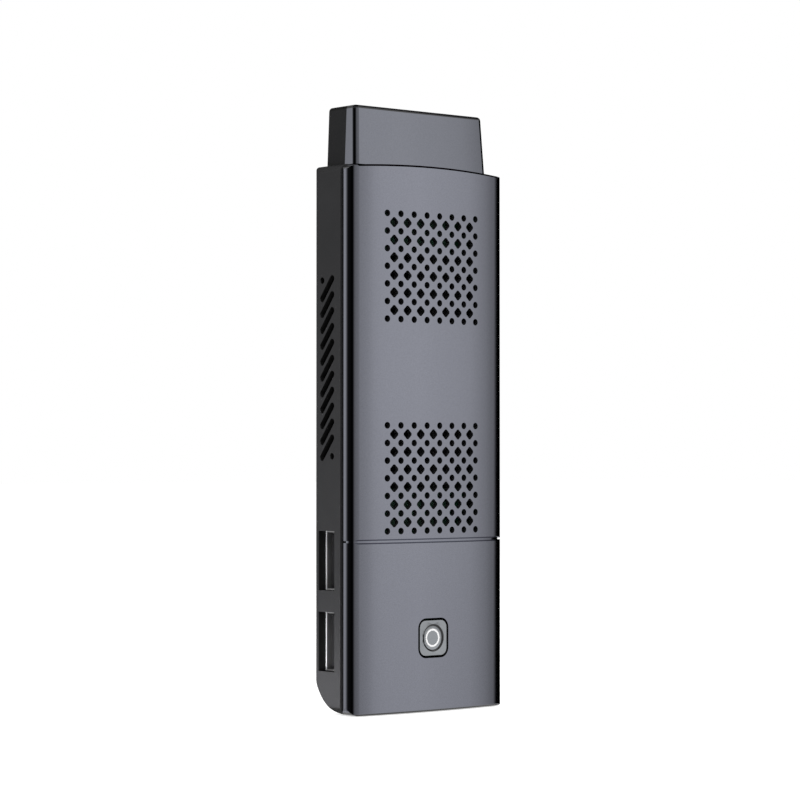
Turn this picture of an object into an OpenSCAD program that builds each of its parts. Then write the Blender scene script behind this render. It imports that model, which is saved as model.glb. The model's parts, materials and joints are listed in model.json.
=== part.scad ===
// Stick computer with an HDMI plug, its two-part front cover, rear housing, cap and electronics.
// Every module is drawn with x across, y back from the crown of the front and z up from the
// lower end; part_frame() then moves the origin to the middle of the plug at the shoulder.

/* [Body] */
// Width of the body
body_w = 45; // [43:0.5:50]
// Length of the body without the cap
body_l = 121.8; // [119:0.2:130]
// Radius of the crowned front
crown_r = 166; // [130:1:300]
// Rounding of the two long front edges
edge_r = 2.4; // [2:0.1:3]
// Rounding of the two long back edges
back_r = 1.2; // [0.6:0.1:2]
// Rounding of the four corners seen from the front
corner_r = 1.9; // [1:0.1:2.5]
// Rounding of the lower back edge
heel_r = 10.9; // [8:0.1:11.5]
// Wall of the rear housing
wall = 1.2; // [1:0.1:1.5]
// Wall of the two front covers
skin = 1.2; // [1:0.1:1.5]
// Bevel of the front's upper and lower ends
end_bevel = 0.45; // [0.2:0.05:0.6]

/* [Seams] */
// Depth of the front covers' rim behind the crown
rim_d = 4.2; // [4.1:0.1:4.6]
// Open seam between the covers and the housing
seam_gap = 1.2; // [0.6:0.1:1.3]
// Length of the covers' lip inside the housing
lip_l = 0.8; // [0.5:0.1:1]
// Thickness of the covers' lip
lip_t = 1; // [0.8:0.1:1.2]
// Height of the groove between the two covers above the lower end
split_z = 38.2; // [37.5:0.1:38.3]
// Width of the groove between the two covers
split_gap = 0.45; // [0.35:0.05:0.6]
// Depth of the groove between the two covers
split_depth = 0.6; // [0.5:0.05:0.7]
// Bevel of the groove's two lips
split_bevel = 0.28; // [0.15:0.01:0.35]
// Overlap of the lower cover's tongue under the upper cover
tongue_l = 1; // [0.8:0.05:1.1]
// Clearance between pieces that fit in each other
fit = 0.1; // [0.05:0.01:0.15]

/* [Front vents] */
// Spacing of the round holes across
vent_pitch_x = 3.72; // [3.4:0.02:3.8]
// Spacing of the round holes along the length
vent_pitch_z = 3.91; // [3.6:0.01:3.94]
// Round holes in a row
vent_columns = 8; // [6:1:8]
// Rows of round holes
vent_rows = 7; // [5:1:7]
// Diameter of a round hole
vent_dot = 1.5; // [1:0.05:1.6]
// Diagonal of a diamond hole before its corners are clipped
vent_diamond = 2.66; // [2:0.02:2.7]
// Clip of a diamond hole's corners
vent_clip = 0.22; // [0.1:0.01:0.3]
// Middle of the upper field below the shoulder
vent_upper_drop = 22.5; // [22:0.1:24]
// Middle of the lower field above the lower end
vent_lower_z = 52.2; // [52.1:0.1:54]

/* [Side vents] */
// Slots in each side wall
slot_count = 11; // [7:1:11]
// Spacing of the slots
slot_pitch = 3.53; // [3.2:0.01:3.6]
// Length of a slot
slot_l = 7.2; // [5:0.1:7.5]
// Width of a slot
slot_w = 1.55; // [0.8:0.05:1.65]
// Slope of a slot
slot_angle = 51; // [40:1:60]
// Middle of the lowest slot above the lower end
slot_low_z = 58.95; // [58.5:0.05:60]
// Middle of the slots behind the crown
slot_d = 10.05; // [9.8:0.05:10.5]
// Diameter of the round hole at each end of the slots
slot_dot = 1.5; // [0.8:0.05:1.6]
// Depth of the round hole from the middle of its nearest slot
slot_dot_d = 1.75; // [1.6:0.05:2]
// Height of the round hole from the middle of its nearest slot
slot_dot_z = 1.9; // [1.8:0.05:2.1]

/* [Power button] */
// Height of the button above the lower end
button_z = 16.4; // [15.5:0.1:17]
// Width of the square key
key_w = 7.5; // [7:0.1:8]
// Corner rounding of the key
key_r = 1.55; // [1:0.05:2]
// Visible gap round the key
key_gap = 0.7; // [0.3:0.01:0.75]
// Thickness of the key
key_t = 1.5; // [1.3:0.1:1.6]
// Reach of the two tabs behind the cover beside the key
tab_w = 1.3; // [1:0.1:1.5]
// Height of a tab
tab_h = 4; // [3:0.5:5]
// Diameter of the finger dish
dish_dia = 6.2; // [5.2:0.1:6.4]
// Depth of the finger dish
dish_depth = 0.25; // [0.15:0.05:0.4]
// Middle diameter of the light ring
ring_dia = 3.75; // [3.2:0.05:4.2]
// Width of the light ring
ring_w = 0.5; // [0.3:0.05:0.6]
// Depth of the light ring
ring_t = 0.7; // [0.5:0.1:0.8]
// Travel of the key
key_travel = 0.4; // [0.2:0.05:0.5]
// Width of the switch under the key
tact_w = 4.5; // [4:0.1:5]
// Height of the switch
tact_h = 1.6; // [1.4:0.1:1.8]
// Diameter of the switch's plunger
plunger_dia = 2; // [1.6:0.1:2.4]
// Plunger above the switch at rest
plunger_out = 0.6; // [0.6:0.05:0.7]

/* [Cap] */
// Height of the cap
cap_h = 13.4; // [13:0.1:15]
// Width of the cap at its base
cap_base_w = 38.8; // [38:0.1:41]
// Width of the cap at its top
cap_top_w = 37.7; // [37:0.1:40]
// Front of the cap behind the crown at its base
cap_front_d = 3.95; // [3.6:0.05:4.2]
// Lean of the cap's front to the back over its height
cap_lean = 0.8; // [0:0.1:1]
// Back of the cap in front of the housing's back
cap_back_in = 0.1; // [0:0.05:0.4]
// Rounding of the cap's upright edges
cap_r = 1.1; // [0.9:0.1:2]
// Rounding of the cap's top edge
cap_top_r = 0.8; // [0.4:0.1:0.8]
// Wall of the cap
cap_wall = 1.2; // [1:0.1:1.3]
// Depth of the cap's front shell
cap_front_t = 3.7; // [2.8:0.05:3.9]

/* [Board] */
// Front face of the circuit board behind the crown
board_d = 6.5; // [6.4:0.1:7]
// Thickness of the circuit board
board_t = 1; // [0.8:0.1:1.2]
// Gap from the board's edge to the housing
board_gap = 0.9; // [0.8:0.1:1.2]

/* [Ports] */
// Depth of a port's mouth behind the side wall's face
port_recess = 2.1; // [2:0.1:2.4]
// Thickness of the sockets' sheet metal
sheet = 0.3; // [0.2:0.05:0.35]
// Width of a USB-A socket
usb_w = 13.1; // [13:0.1:13.3]
// Height of a USB-A socket
usb_h = 5.6; // [5.5:0.1:5.8]
// Length of a USB-A socket
usb_l = 13.8; // [12:0.1:14.5]
// Height of the lower USB-A socket above the lower end
usb_lower_z = 15.95; // [15.7:0.05:16.2]
// Spacing of the two USB-A sockets
usb_pitch = 17.95; // [17.5:0.05:18.2]
// Height of the audio jack above the lower end
jack_z = 11; // [10.5:0.1:11.4]
// Radius of the audio jack's bore
jack_bore_r = 1.8; // [1.75:0.01:1.85]
// Height of the micro-USB inlet above the lower end
inlet_z = 20.6; // [20.2:0.1:21]
// Height of the card slot above the lower end
card_z = 33.2; // [33:0.1:33.6]

/* [HDMI plug] */
// Width of the plug
plug_w = 13.9; // [13.8:0.05:14]
// Height of the plug
plug_h = 4.45; // [4.4:0.05:4.55]
// Length of the plug beyond the shoulder
plug_l = 11.7; // [11.3:0.1:11.8]

/* [Fasteners] */
// How far the boss of a side screw runs into the cover's lip
boss_sink = 0.3; // [0.2:0.05:0.6]
// Upper screws below the shoulder
screw_top_drop = 15.8; // [15:0.1:16.5]
// Middle screws above the lower end
screw_mid_z = 47; // [46:0.1:47.5]
// Lowest screw above the lower end
screw_low_z = 27.5; // [27:0.1:28]
// Diameter of a case screw's thread
screw_dia = 2; // [1.6:0.1:2.2]
// Diameter of a case screw's head
screw_head_dia = 3.6; // [3.2:0.1:3.8]

/* [Hidden] */
$fn = 48;
crown_steps = 720;
eps = 0.01;
over = 1;

// Places that follow from the sizes
half_w = body_w / 2;
edge_x = half_w - edge_r;
edge_d = crown_r - sqrt(pow(crown_r - edge_r, 2) - pow(edge_x, 2));
seam_end = rim_d + seam_gap;
lip_half = half_w - wall - fit;
lip_end = seam_end + lip_l;
board_back = board_d + board_t;
back_gap = 0.4;
body_t = board_back + usb_h + back_gap + wall;
board_half = half_w - wall - board_gap;
heel_in = max(0, lip_end - body_t + heel_r);
lip_low = heel_r - sqrt(pow(heel_r - wall, 2) - pow(heel_in, 2)) + fit;
split_top = split_z + split_gap / 2;
split_low = split_z - split_gap / 2;
ledge_t = 1;
vent_x = [half_w - wall - fit, half_w + over];

// Case screws
boss_r = screw_dia / 2 + 1.2;
post_r = screw_head_dia / 2 + 0.9;
thread_play = 0.05;
head_sink = 2.2;
tip_share = 0.5;
crown_share = 0.8;
head_t = 1.2;
screw_x = lip_half - lip_t - boss_r + boss_sink;
screw_top_z = body_l - screw_top_drop;
screw_points = [
    [-screw_x, screw_top_z], [screw_x, screw_top_z],
    [-screw_x, screw_mid_z], [screw_x, screw_mid_z],
    [0, screw_low_z]
];

// Plug, its seat in the cap and its contacts
plug_d = 9;
plug_in = 10.2;
plug_fit = 0.15;
plug_mouth = [plug_w + 4 * plug_fit, plug_h + 4 * plug_fit];
plug_low = body_l - plug_in;
plug_high = body_l + plug_l;
plug_step = 0.4;
plug_narrow = 1.35;
plug_window_x = 3;
plug_window_w = 1.8;
plug_window_z = [body_l + 4, body_l + 6.4];
plug_cavity_w = 11.9;
plug_cavity_h = 2.1;
plug_cavity_l = 8.4;
pin_t = 0.2;
pin_w = 0.44;
pin_tail = 1.6;
pin_pitch = 1;
cap_inner_r = 0.6;
rib_x = plug_w / 2 + plug_fit;
rib_t = 1;
rib_start = 1.5;

// Circuit board and the screws that hold it in the housing
board_low = 3;
board_high = body_l - wall - board_gap;
board_notch = 0.6;
board_screw_dia = 1.6;
board_head_r = 1.5;
board_head_t = 0.9;
board_screw_grip = 3.2;
board_post_r = post_r - 0.5;
board_screw_points = [for (s = [-1, 1]) [s * (plug_w / 2 + 5), body_l - 7]];

// Processor, heat sink and what lies between them
soc_w = 17;
soc_base_t = 0.8;
soc_die = [10, 8.6];
soc_die_t = 0.4;
soc_part = [0.6, 1.2, 1.1];
soc_part_in = 1.3;
soc_part_step = 4.5;
pad = [12, 11];
pad_t = 0.5;
pad_r = 1;
sink_base_t = 1;
sink_w = 30;
sink_screw_dia = 1.5;
sink_head_r = 1.4;
sink_head_t = 0.8;
sink_back = board_d - soc_base_t - soc_die_t - pad_t;
sink_front = sink_back - sink_base_t;
sink_low = screw_mid_z + boss_r + 0.8;
sink_high = screw_top_z - boss_r - 0.8;
soc_z = (sink_low + sink_high) / 2;
fin_t = 1;
fin_count = 10;
fin_cuts = 5;
fin_cut_w = 1.4;
fin_front = skin + sag(sink_w / 2) + 0.4;
sink_post_r = 1.9;
sink_posts = [for (x = [-1, 1], z = [sink_low + 3.5, sink_high - 3.5]) [x * (sink_w / 2 - 2.5), z]];

// Moulded packages, their legs and their pads
base_share = 0.3;
mould_in = 0.25;
dot_in = 1.1;
dot_r = 0.35;
dot_depth = 0.12;
leg_pitch = 1.27;
leg_w = 0.42;
leg_t = 0.2;
leg_out = 1.05;
pad_w = 0.3;
pad_h = 0.2;
pad_out = 0.06;

// Chips, each as width, height and thickness, and their places
memory_size = [8, 11, 1];
memory_x = 6;
memory_low = 17;
memory_high = 16;
memory_z = [soc_z - memory_low, soc_z + memory_high];
storage_size = [11.5, 13, 1];
storage_x = 3.5;
storage_drop = 17.6;
storage_at = [storage_x, plug_low - storage_drop];
firmware_size = [3.9, 4.9, 1.6];
firmware_legs = 4;
firmware_x = 8;
firmware_drop = 15.6;
firmware_at = [-firmware_x, plug_low - firmware_drop];
power_size = [6, 6, 0.85];
power_pads = 6;
power_x = 6;
power_low = 14;
power_at = [-power_x, soc_z - power_low];
inductor_w = 4.2;
inductor_t = 2;
inductor_r = 0.7;
inductor_rim = 0.45;
inductor_in = 5.2;
inductor_gap = 5;
inductor_low = 6;
inductor_step = 5.4;
inductor_x = [inductor_in - board_half, inductor_in + inductor_gap - board_half];
inductor_z = [soc_z - inductor_low, soc_z - inductor_low + inductor_step];
capacitor_size = [3.4, 2.7, 1.9];
capacitor_count = 5;
terminal_l = 0.7;
terminal_in = 0.12;
capacitor_in = 11.4;
capacitor_low = 16;
capacitor_at = [board_half - capacitor_in, soc_z - capacitor_low];
capacitor_step = [4.2, 3.6];
led_size = [0.8, 1.6, 0.6];

// Button stack
key_front = 0.1;
key_back = key_front + key_t + skin;
tab_front = skin + sag(key_w / 2 + tab_w) + 0.08;
dish_slope = 0.45;
tact_top = board_d - tact_h;
tact_floor = 0.3;
tact_r = 0.5;
tact_leg_out = 0.7;
tact_leg_z = 1.5;
tact_leg_w = 0.7;
tact_leg_t = 0.2;
plunger_top = tact_top - plunger_out;
plunger_play = 0.05;
plunger_bevel = 0.2;
stem_end = plunger_top - plunger_play;
ring_proud = 0.04;

// Wireless module beside the lowest screw, its aerial and the lead between them
wifi_in = 9.8;
wifi_z = 29;
wifi_at = [wifi_in - board_half, wifi_z];
wifi_size = [13, 12.6, 0.8];
wifi_face = board_d - wifi_size[2];
wifi_pads = 7;
wifi_pad_pitch = 1.6;
wifi_pad_r = 0.4;
shield_half = 5.8;
shield_low = 3.4;
shield_t = 1.3;
shield_sheet = 0.2;
shield_mid = wifi_at + [0, (shield_half - shield_low) / 2];
shield_step = 3;
shield_hole_r = 0.6;
antenna_z = 7;
antenna_w = 26;
antenna_h = 5;
antenna_t = 0.2;
antenna_slots = 5;
antenna_pitch = 4;
antenna_slot_w = 0.8;
antenna_strip = 1.2;
antenna_seat = skin + 0.05;
lead_r = 0.55;
lead_x = wifi_at[0];
lead_start = [wifi_face - 0.9 - lead_r, wifi_at[1] - 4.9];
lead_end_d = antenna_seat + sag(lead_x) + antenna_t + 0.15 + lead_r;
lead_drop = lead_start[0] - lead_end_d;
lead_low = antenna_z + antenna_h / 2;

// Ports
rim_x = half_w - port_recess;
collar_x = rim_x + fit;
collar_w = 0.8;
collar_d = [board_back - collar_w, body_t - wall / 2];

// USB-A sockets
usb_upper_z = usb_lower_z + usb_pitch;
usb_back = board_back + usb_h;
usb_deep = usb_l - rim_x - sheet;
usb_block = 3.4;
usb_tip = 0.8;
usb_tongue_front = board_back + sheet + 2.35;
usb_tongue_t = 1.85;
usb_tongue_w = 11.1;
usb_pin_w = 1;
usb_pin_t = 0.25;
usb_pins = [-3.5, -1, 1, 3.5];
usb_pad_w = 0.8;
usb_pad_t = 0.15;
usb_pads = [-4, -2, 0, 2, 4];
usb_pad_x = [usb_tip + 0.4 - rim_x, usb_tip + 1.8 - rim_x];
finger_x = [2 - rim_x, 7.6 - rim_x];
finger_z = 2.8;
finger_w = 1.2;
finger_play = 0.3;
finger_bend = 6;
finger_t = [0.02, sheet - 0.05];

// Micro-USB power inlet
inlet_w = 7.5;
inlet_h = 2.5;
inlet_l = 5.2;
inlet_rim = 0.7;
inlet_d = board_back + inlet_h / 2;
inlet_deep = rim_x - inlet_l + sheet;
inlet_block = 1.2;
inlet_window_z = 1.5;
inlet_window_w = 1;
inlet_tongue_w = 3.6;
inlet_tongue_d = [inlet_d - 0.5, inlet_d + 0.1];
inlet_pin_pitch = 0.65;
inlet_pin_w = 0.4;
inlet_pin_t = 0.15;

// Memory-card socket
card_w = 14;
card_l = 15;
card_t = 1.5;
card_base_t = 0.4;
card_lid_t = 0.2;
card_stop = 1.5;
card_spring_z = 3.6;
card_spring_w = 1.6;
card_d = board_back + card_base_t + 0.5;
card_mouth_w = 12.4;
card_mouth_h = 1.5;
card_pins = 8;
card_pin_pitch = 1.1;
card_pin_w = 0.6;
card_pin_t = 0.15;
card_x = rim_x - card_l;
card_inner = [card_z - card_w / 2 + card_lid_t, card_z + card_w / 2 - card_lid_t];

// Audio jack
jack_h = 5.2;
jack_w = 6;
jack_l = 13;
jack_end_t = 1;
jack_nose_r = jack_bore_r + 0.6;
jack_d = board_back + jack_h / 2;
jack_mouth = half_w - 0.3;
terminal_x = [2, 6, 10];
terminal_w = 1;
terminal_t = 0.3;
terminal_h = 1.4;

// Depth of the crown behind its middle at a distance x from the middle
function sag(x) = crown_r - sqrt(crown_r * crown_r - x * x);

// Half width at which the crown meets the rounded edge, for a surface lying inside the outer one
function tangent_x(inset) = edge_x * (crown_r - inset) / (crown_r - edge_r);

// Moves the drawing to its frame: the middle of the plug at the shoulder is the origin
module part_frame() {
    translate([0, -plug_d, -body_l]) children();
}

// Box between two values on each axis
module span(x, y, z) {
    translate([x[0], y[0], z[0]]) cube([x[1] - x[0], y[1] - y[0], z[1] - z[0]]);
}

// Plate whose outline is drawn as seen from the front, between two depths
module front_plate(d) {
    translate([0, d[1], 0]) rotate([90, 0, 0]) linear_extrude(d[1] - d[0]) children();
}

// Plate whose outline is drawn as depth and height, between two values of x
module side_plate(x) {
    translate([x[0], 0, 0]) rotate([90, 0, 90]) linear_extrude(x[1] - x[0]) children();
}

// Round bar along the depth
module bar_d(at, r, d) {
    translate([at[0], d[1], at[1]]) rotate([90, 0, 0]) cylinder(r = r, h = d[1] - d[0]);
}

// Round bar along the depth whose radius goes from the first to the second
module cone_d(at, r, d) {
    translate([at[0], d[1], at[1]]) rotate([90, 0, 0]) cylinder(r1 = r[1], r2 = r[0], h = d[1] - d[0]);
}

// Round bar along x
module bar_x(at, r, x) {
    translate([x[0], at[0], at[1]]) rotate([0, 90, 0]) cylinder(r = r, h = x[1] - x[0]);
}

// Rectangle with round corners about the origin
module round_rect(w, h, r) {
    square([w, h - 2 * r], center = true);
    square([w - 2 * r, h], center = true);
    for (x = [-1, 1], y = [-1, 1]) translate([x * (w / 2 - r), y * (h / 2 - r)]) circle(r = r);
}

// Screw along the depth, its head at the back
module screw(at, shank_r, head_r, seat, head_h, tip) {
    difference() {
        union() {
            cone_d(at, [shank_r * tip_share, shank_r], [tip, tip + shank_r]);
            bar_d(at, shank_r, [tip + shank_r, seat]);
            bar_d(at, head_r, [seat, seat + head_h / 2]);
            cone_d(at, [head_r, head_r * crown_share], [seat + head_h / 2, seat + head_h]);
        }
        for (turn = [0, 90])
            translate([at[0], seat + head_h, at[1]])
                rotate([0, turn, 0])
                    cube([head_r * 1.1, head_h, head_r * 0.3], center = true);
    }
}

// Outline of the body seen from the front
module body_outline() {
    translate([0, body_l / 2]) round_rect(body_w, body_l, corner_r);
}

// Section of a front cover from the crown to a depth, lying inside the outer surface by inset
module cover_section(inset, end) {
    intersection() {
        translate([0, crown_r]) circle(r = crown_r - inset, $fn = crown_steps);
        translate([-tangent_x(inset), 0]) square([2 * tangent_x(inset), end]);
    }
    translate([inset - half_w, edge_d]) square([body_w - 2 * inset, end - edge_d]);
    for (s = [-1, 1]) translate([s * edge_x, edge_d]) circle(r = edge_r - inset);
}

// Length of a cover's section between two heights
module cover_run(inset, end, z) {
    translate([0, 0, z[0]]) linear_extrude(z[1] - z[0]) cover_section(inset, end);
}

// Round body about the crown's axis between two heights, its two rims cut at a slope
module bevelled_crown(z, cut) {
    translate([0, crown_r, 0])
        rotate_extrude($fn = crown_steps)
            polygon([
                [0, z[0] - over], [crown_r - cut[0] - over, z[0] - over],
                [crown_r + over, z[0] + cut[0] + over], [crown_r + over, z[1] - cut[1] - over],
                [crown_r - cut[1] - over, z[1] + over], [0, z[1] + over]
            ]);
}

// Shell of a front cover with its lip, between the outer heights and the inner ones
module cover_shell(outer, inner, lip, cut) {
    difference() {
        union() {
            intersection() {
                cover_run(0, rim_d, outer);
                bevelled_crown(outer, cut);
                front_plate([-over, rim_d + over]) body_outline();
            }
            span([-lip_half, lip_half], [rim_d - ledge_t, lip_end], lip);
        }
        cover_run(skin, rim_d - ledge_t, inner);
        span([lip_t - lip_half, lip_half - lip_t], [edge_d - over, lip_end + over],
             [max(inner[0], lip[0] + (inner[0] > outer[0] ? lip_t : -over)),
              min(inner[1], lip[1] - (inner[1] < outer[1] ? lip_t : -over))]);
    }
}

// Boss of a front cover for a case screw
module cover_boss(at) {
    difference() {
        bar_d(at, boss_r, [sag(at[0]) + skin * 0.6, board_d]);
        bar_d(at, screw_dia / 2, [sag(at[0]) + skin + 0.8, board_d + over]);
    }
}

// Diamond whose four corners are clipped: half its span and half the clip's length
module clipped_diamond(a, c) {
    polygon([[a, -c], [a, c], [c, a], [-c, a], [-a, c], [-a, -c], [-c, -a], [c, -a]]);
}

// One field of front vents about its middle
module vent_field(z) {
    span_x = (vent_columns - 1) * vent_pitch_x / 2;
    span_z = (vent_rows - 1) * vent_pitch_z / 2;
    for (i = [0 : vent_columns - 1], j = [0 : vent_rows - 1])
        bar_d([i * vent_pitch_x - span_x, z + j * vent_pitch_z - span_z], vent_dot / 2, [-over, rim_d]);
    for (i = [0 : vent_columns - 2], j = [0 : vent_rows - 2])
        front_plate([-over, rim_d])
            translate([(i + 0.5) * vent_pitch_x - span_x, z + (j + 0.5) * vent_pitch_z - span_z])
                clipped_diamond(vent_diamond / 2 - vent_clip, vent_clip);
}

module grille_cover() {
    color("#6c6e77") difference() {
        union() {
            cover_shell([split_top, body_l], [split_top - over, body_l - skin],
                        [split_top, body_l - wall - fit], [split_bevel, end_bevel]);
            for (i = [0 : 3]) cover_boss(screw_points[i]);
        }
        cover_run(split_depth - fit, rim_d, [split_top - over, split_top + tongue_l + fit]);
        vent_field(body_l - vent_upper_drop);
        vent_field(vent_lower_z);
    }
}

module lower_cover() {
    color("#6c6e77") difference() {
        union() {
            cover_shell([0, split_low], [skin, split_low + over], [lip_low, split_low],
                        [end_bevel, split_bevel]);
            cover_boss(screw_points[4]);
            difference() {
                cover_run(split_depth, rim_d - fit, [split_low - tongue_l, split_top + tongue_l]);
                cover_run(skin, rim_d + over, [split_low - 2 * tongue_l, split_top + 2 * tongue_l]);
            }
        }
        front_plate([-over, rim_d])
            translate([0, button_z])
                round_rect(key_w + 2 * key_gap, key_w + 2 * key_gap, key_r + key_gap);
    }
}

// Outline of the housing as depth and height, lying inside the outer surface by inset
module heel_outline(inset) {
    translate([0, heel_r]) square([body_t - inset, body_l + over - heel_r]);
    translate([0, inset]) square([body_t - heel_r, heel_r - inset + eps]);
    translate([body_t - heel_r, heel_r]) circle(r = heel_r - inset);
}

// Section of the housing with its two rounded back edges
module housing_section() {
    translate([-half_w, seam_end]) square([body_w, body_t - back_r - seam_end]);
    translate([back_r - half_w, seam_end]) square([body_w - 2 * back_r, body_t - seam_end]);
    for (s = [-1, 1]) translate([s * (half_w - back_r), body_t - back_r]) circle(r = back_r);
}

// Slot with round ends through a side wall
module side_slot(z) {
    reach = (slot_l - slot_w) / 2;
    translate([0, slot_d, z]) rotate([90 - slot_angle, 0, 0]) {
        span(vent_x, [-slot_w / 2, slot_w / 2], [-reach, reach]);
        for (s = [-1, 1]) bar_x([0, s * reach], slot_w / 2, vent_x);
    }
}

// Slots and their two round holes through the wall on the right
module side_vents() {
    slot_high_z = slot_low_z + (slot_count - 1) * slot_pitch;
    for (i = [0 : slot_count - 1]) side_slot(slot_low_z + i * slot_pitch);
    bar_x([slot_d + slot_dot_d, slot_high_z + slot_dot_z], slot_dot / 2, vent_x);
    bar_x([slot_d - slot_dot_d, slot_low_z - slot_dot_z], slot_dot / 2, vent_x);
}

module rear_housing() {
    color("#303133") difference() {
        intersection() {
            linear_extrude(body_l) housing_section();
            front_plate([0, body_t + over]) body_outline();
            side_plate([-body_w, body_w]) heel_outline(0);
            union() {
                difference() {
                    span([-half_w, half_w], [0, body_t], [0, body_l]);
                    intersection() {
                        span([wall - half_w, half_w - wall], [-over, body_t], [0, body_l - wall]);
                        side_plate([-body_w, body_w]) heel_outline(wall);
                    }
                }
                housing_fittings();
            }
        }
        for (p = screw_points) {
            bar_d(p, screw_dia / 2 + fit, [0, body_t + over]);
            bar_d(p, screw_head_dia / 2 + 2 * fit, [body_t - head_sink, body_t + over]);
        }
        for (p = board_screw_points) bar_d(p, board_screw_dia / 2, [board_back - over, body_t - wall]);
        port_cuts();
        side_vents();
        mirror([1, 0, 0]) side_vents();
        span([-plug_mouth[0] / 2, plug_mouth[0] / 2],
             [plug_d - plug_mouth[1] / 2, plug_d + plug_mouth[1] / 2], [body_l - 2 * wall, body_l + over]);
    }
}

// Posts under the board and collars behind the ports
module housing_fittings() {
    usb_collar = usb_w / 2 + collar_w;
    for (p = screw_points) bar_d(p, post_r, [board_back, body_t - wall / 2]);
    for (p = board_screw_points) bar_d(p, board_post_r, [board_back, body_t - wall / 2]);
    span([wall / 2 - half_w, -collar_x], collar_d, [usb_lower_z - usb_collar, usb_upper_z + usb_collar]);
    span([collar_x, half_w - wall / 2], collar_d,
         [jack_z - jack_w / 2 - collar_w, card_z + card_w / 2 + collar_w]);
}

// Mouths of the ports through the side walls
module port_cuts() {
    for (z = [usb_lower_z, usb_upper_z])
        span([-half_w - over, -rim_x], [board_back - fit / 2, usb_back + fit / 2],
             [z - usb_w / 2 - fit / 2, z + usb_w / 2 + fit / 2]);
    bar_x([jack_d, jack_z], jack_nose_r + fit, [rim_x, half_w + over]);
    side_plate([rim_x, half_w + over])
        translate([inlet_d, inlet_z]) round_rect(inlet_h + inlet_rim, inlet_w + inlet_rim, 1);
    side_plate([rim_x, half_w + over])
        translate([card_d, card_z]) round_rect(card_mouth_h, card_mouth_w, card_mouth_h / 2 - eps);
}

module case_screws() {
    color("#8d8f93")
        for (p = screw_points)
            screw(p, screw_dia / 2 - thread_play, screw_head_dia / 2, body_t - head_sink, head_t,
                  sag(p[0]) + skin + 1.2);
}

module power_button() {
    color("#74767f") difference() {
        union() {
            front_plate([key_front, key_back]) translate([0, button_z]) round_rect(key_w, key_w, key_r);
            span([-key_w / 2 - tab_w, key_w / 2 + tab_w], [tab_front, key_back],
                 [button_z - tab_h / 2, button_z + tab_h / 2]);
            bar_d([0, button_z], plunger_dia / 2, [key_back, stem_end]);
        }
        cone_d([0, button_z], [dish_dia / 2, dish_dia / 2 - dish_slope], [key_front, key_front + dish_depth]);
        ring_tube(0, ring_t);
    }
}

// Tube of the light ring from the floor of the dish
module ring_tube(proud, depth) {
    floor_d = key_front + dish_depth;
    difference() {
        bar_d([0, button_z], (ring_dia + ring_w) / 2, [floor_d - proud, floor_d + depth]);
        bar_d([0, button_z], (ring_dia - ring_w) / 2, [floor_d - over, floor_d + depth + over]);
    }
}

module button_light_ring() {
    color("white") ring_tube(ring_proud, ring_t);
}

module tact_switch_body() {
    leg_x = tact_w / 2 + tact_leg_out;
    color("#2a2a2a") difference() {
        union() {
            front_plate([tact_top, board_d])
                translate([0, button_z]) round_rect(tact_w, tact_w, tact_r);
            for (s = [-1, 1])
                span([-leg_x, leg_x], [board_d - tact_leg_t, board_d],
                     [button_z + s * tact_leg_z - tact_leg_w / 2, button_z + s * tact_leg_z + tact_leg_w / 2]);
        }
        bar_d([0, button_z], plunger_dia / 2 + plunger_play, [tact_top - over, board_d - tact_floor]);
    }
}

module tact_switch_plunger() {
    foot = board_d - tact_floor - plunger_play - key_travel;
    color("#d8d0b8") {
        cone_d([0, button_z], [plunger_dia / 2 - plunger_bevel, plunger_dia / 2],
               [plunger_top, plunger_top + plunger_bevel]);
        bar_d([0, button_z], plunger_dia / 2, [plunger_top + plunger_bevel, foot]);
    }
}

module power_led() {
    led_at = [tact_w / 2 + tact_leg_out + 1, button_z];
    color("#f2f2e6") on_front() {
        block(led_at, [led_size[0], led_size[1], led_size[2] / 2]);
        block(led_at, [led_size[0], led_size[1] * 0.6, led_size[2]]);
    }
}

// One level of the cap's outline: its height, its inset and its corner rounding
module cap_level(z, inset, r) {
    share = z / cap_h;
    w = cap_base_w + (cap_top_w - cap_base_w) * share - 2 * inset;
    front = cap_front_d + cap_lean * share + inset;
    back = body_t - cap_back_in - inset;
    for (x = [-1, 1], d = [front + r, back - r])
        translate([x * (w / 2 - r), d, body_l + z]) cylinder(r = r, h = eps, $fn = 32);
}

// Closed form of the cap with rounded upright and top edges
module cap_form() {
    hull() {
        cap_level(fit, 0, cap_r);
        for (a = [0, 30, 60, 90])
            cap_level(cap_h - cap_top_r + cap_top_r * sin(a) - eps, cap_top_r * (1 - cos(a)),
                      cap_r - cap_top_r * (1 - cos(a)));
    }
}

// Hollow of the cap
module cap_hollow() {
    hull() for (z = [-over, cap_h - cap_wall]) cap_level(z, cap_wall, cap_inner_r);
}

// Cap with the two ribs that hold the plug
module cap_solid() {
    difference() {
        union() {
            difference() {
                cap_form();
                cap_hollow();
            }
            intersection() {
                cap_form();
                for (s = [-1, 1])
                    span([s * (rib_x + rib_t / 2) - rib_t / 2, s * (rib_x + rib_t / 2) + rib_t / 2],
                         [cap_front_d, body_t], [body_l + rib_start, body_l + cap_h - cap_wall / 2]);
            }
        }
        span([-rib_x, rib_x], [plug_d - plug_h / 2 - plug_fit, plug_d + plug_h / 2 + plug_fit],
             [body_l - over, body_l + cap_h - cap_wall]);
    }
}

module cap_front_shell() {
    color("#6c6e77") intersection() {
        cap_solid();
        span([-body_w, body_w], [0, cap_front_d + cap_front_t], [body_l - over, body_l + cap_h + over]);
    }
}

module cap_rear_shell() {
    color("#303133") intersection() {
        cap_solid();
        span([-body_w, body_w], [cap_front_d + cap_front_t, body_t], [body_l - over, body_l + cap_h + over]);
    }
}

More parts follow.
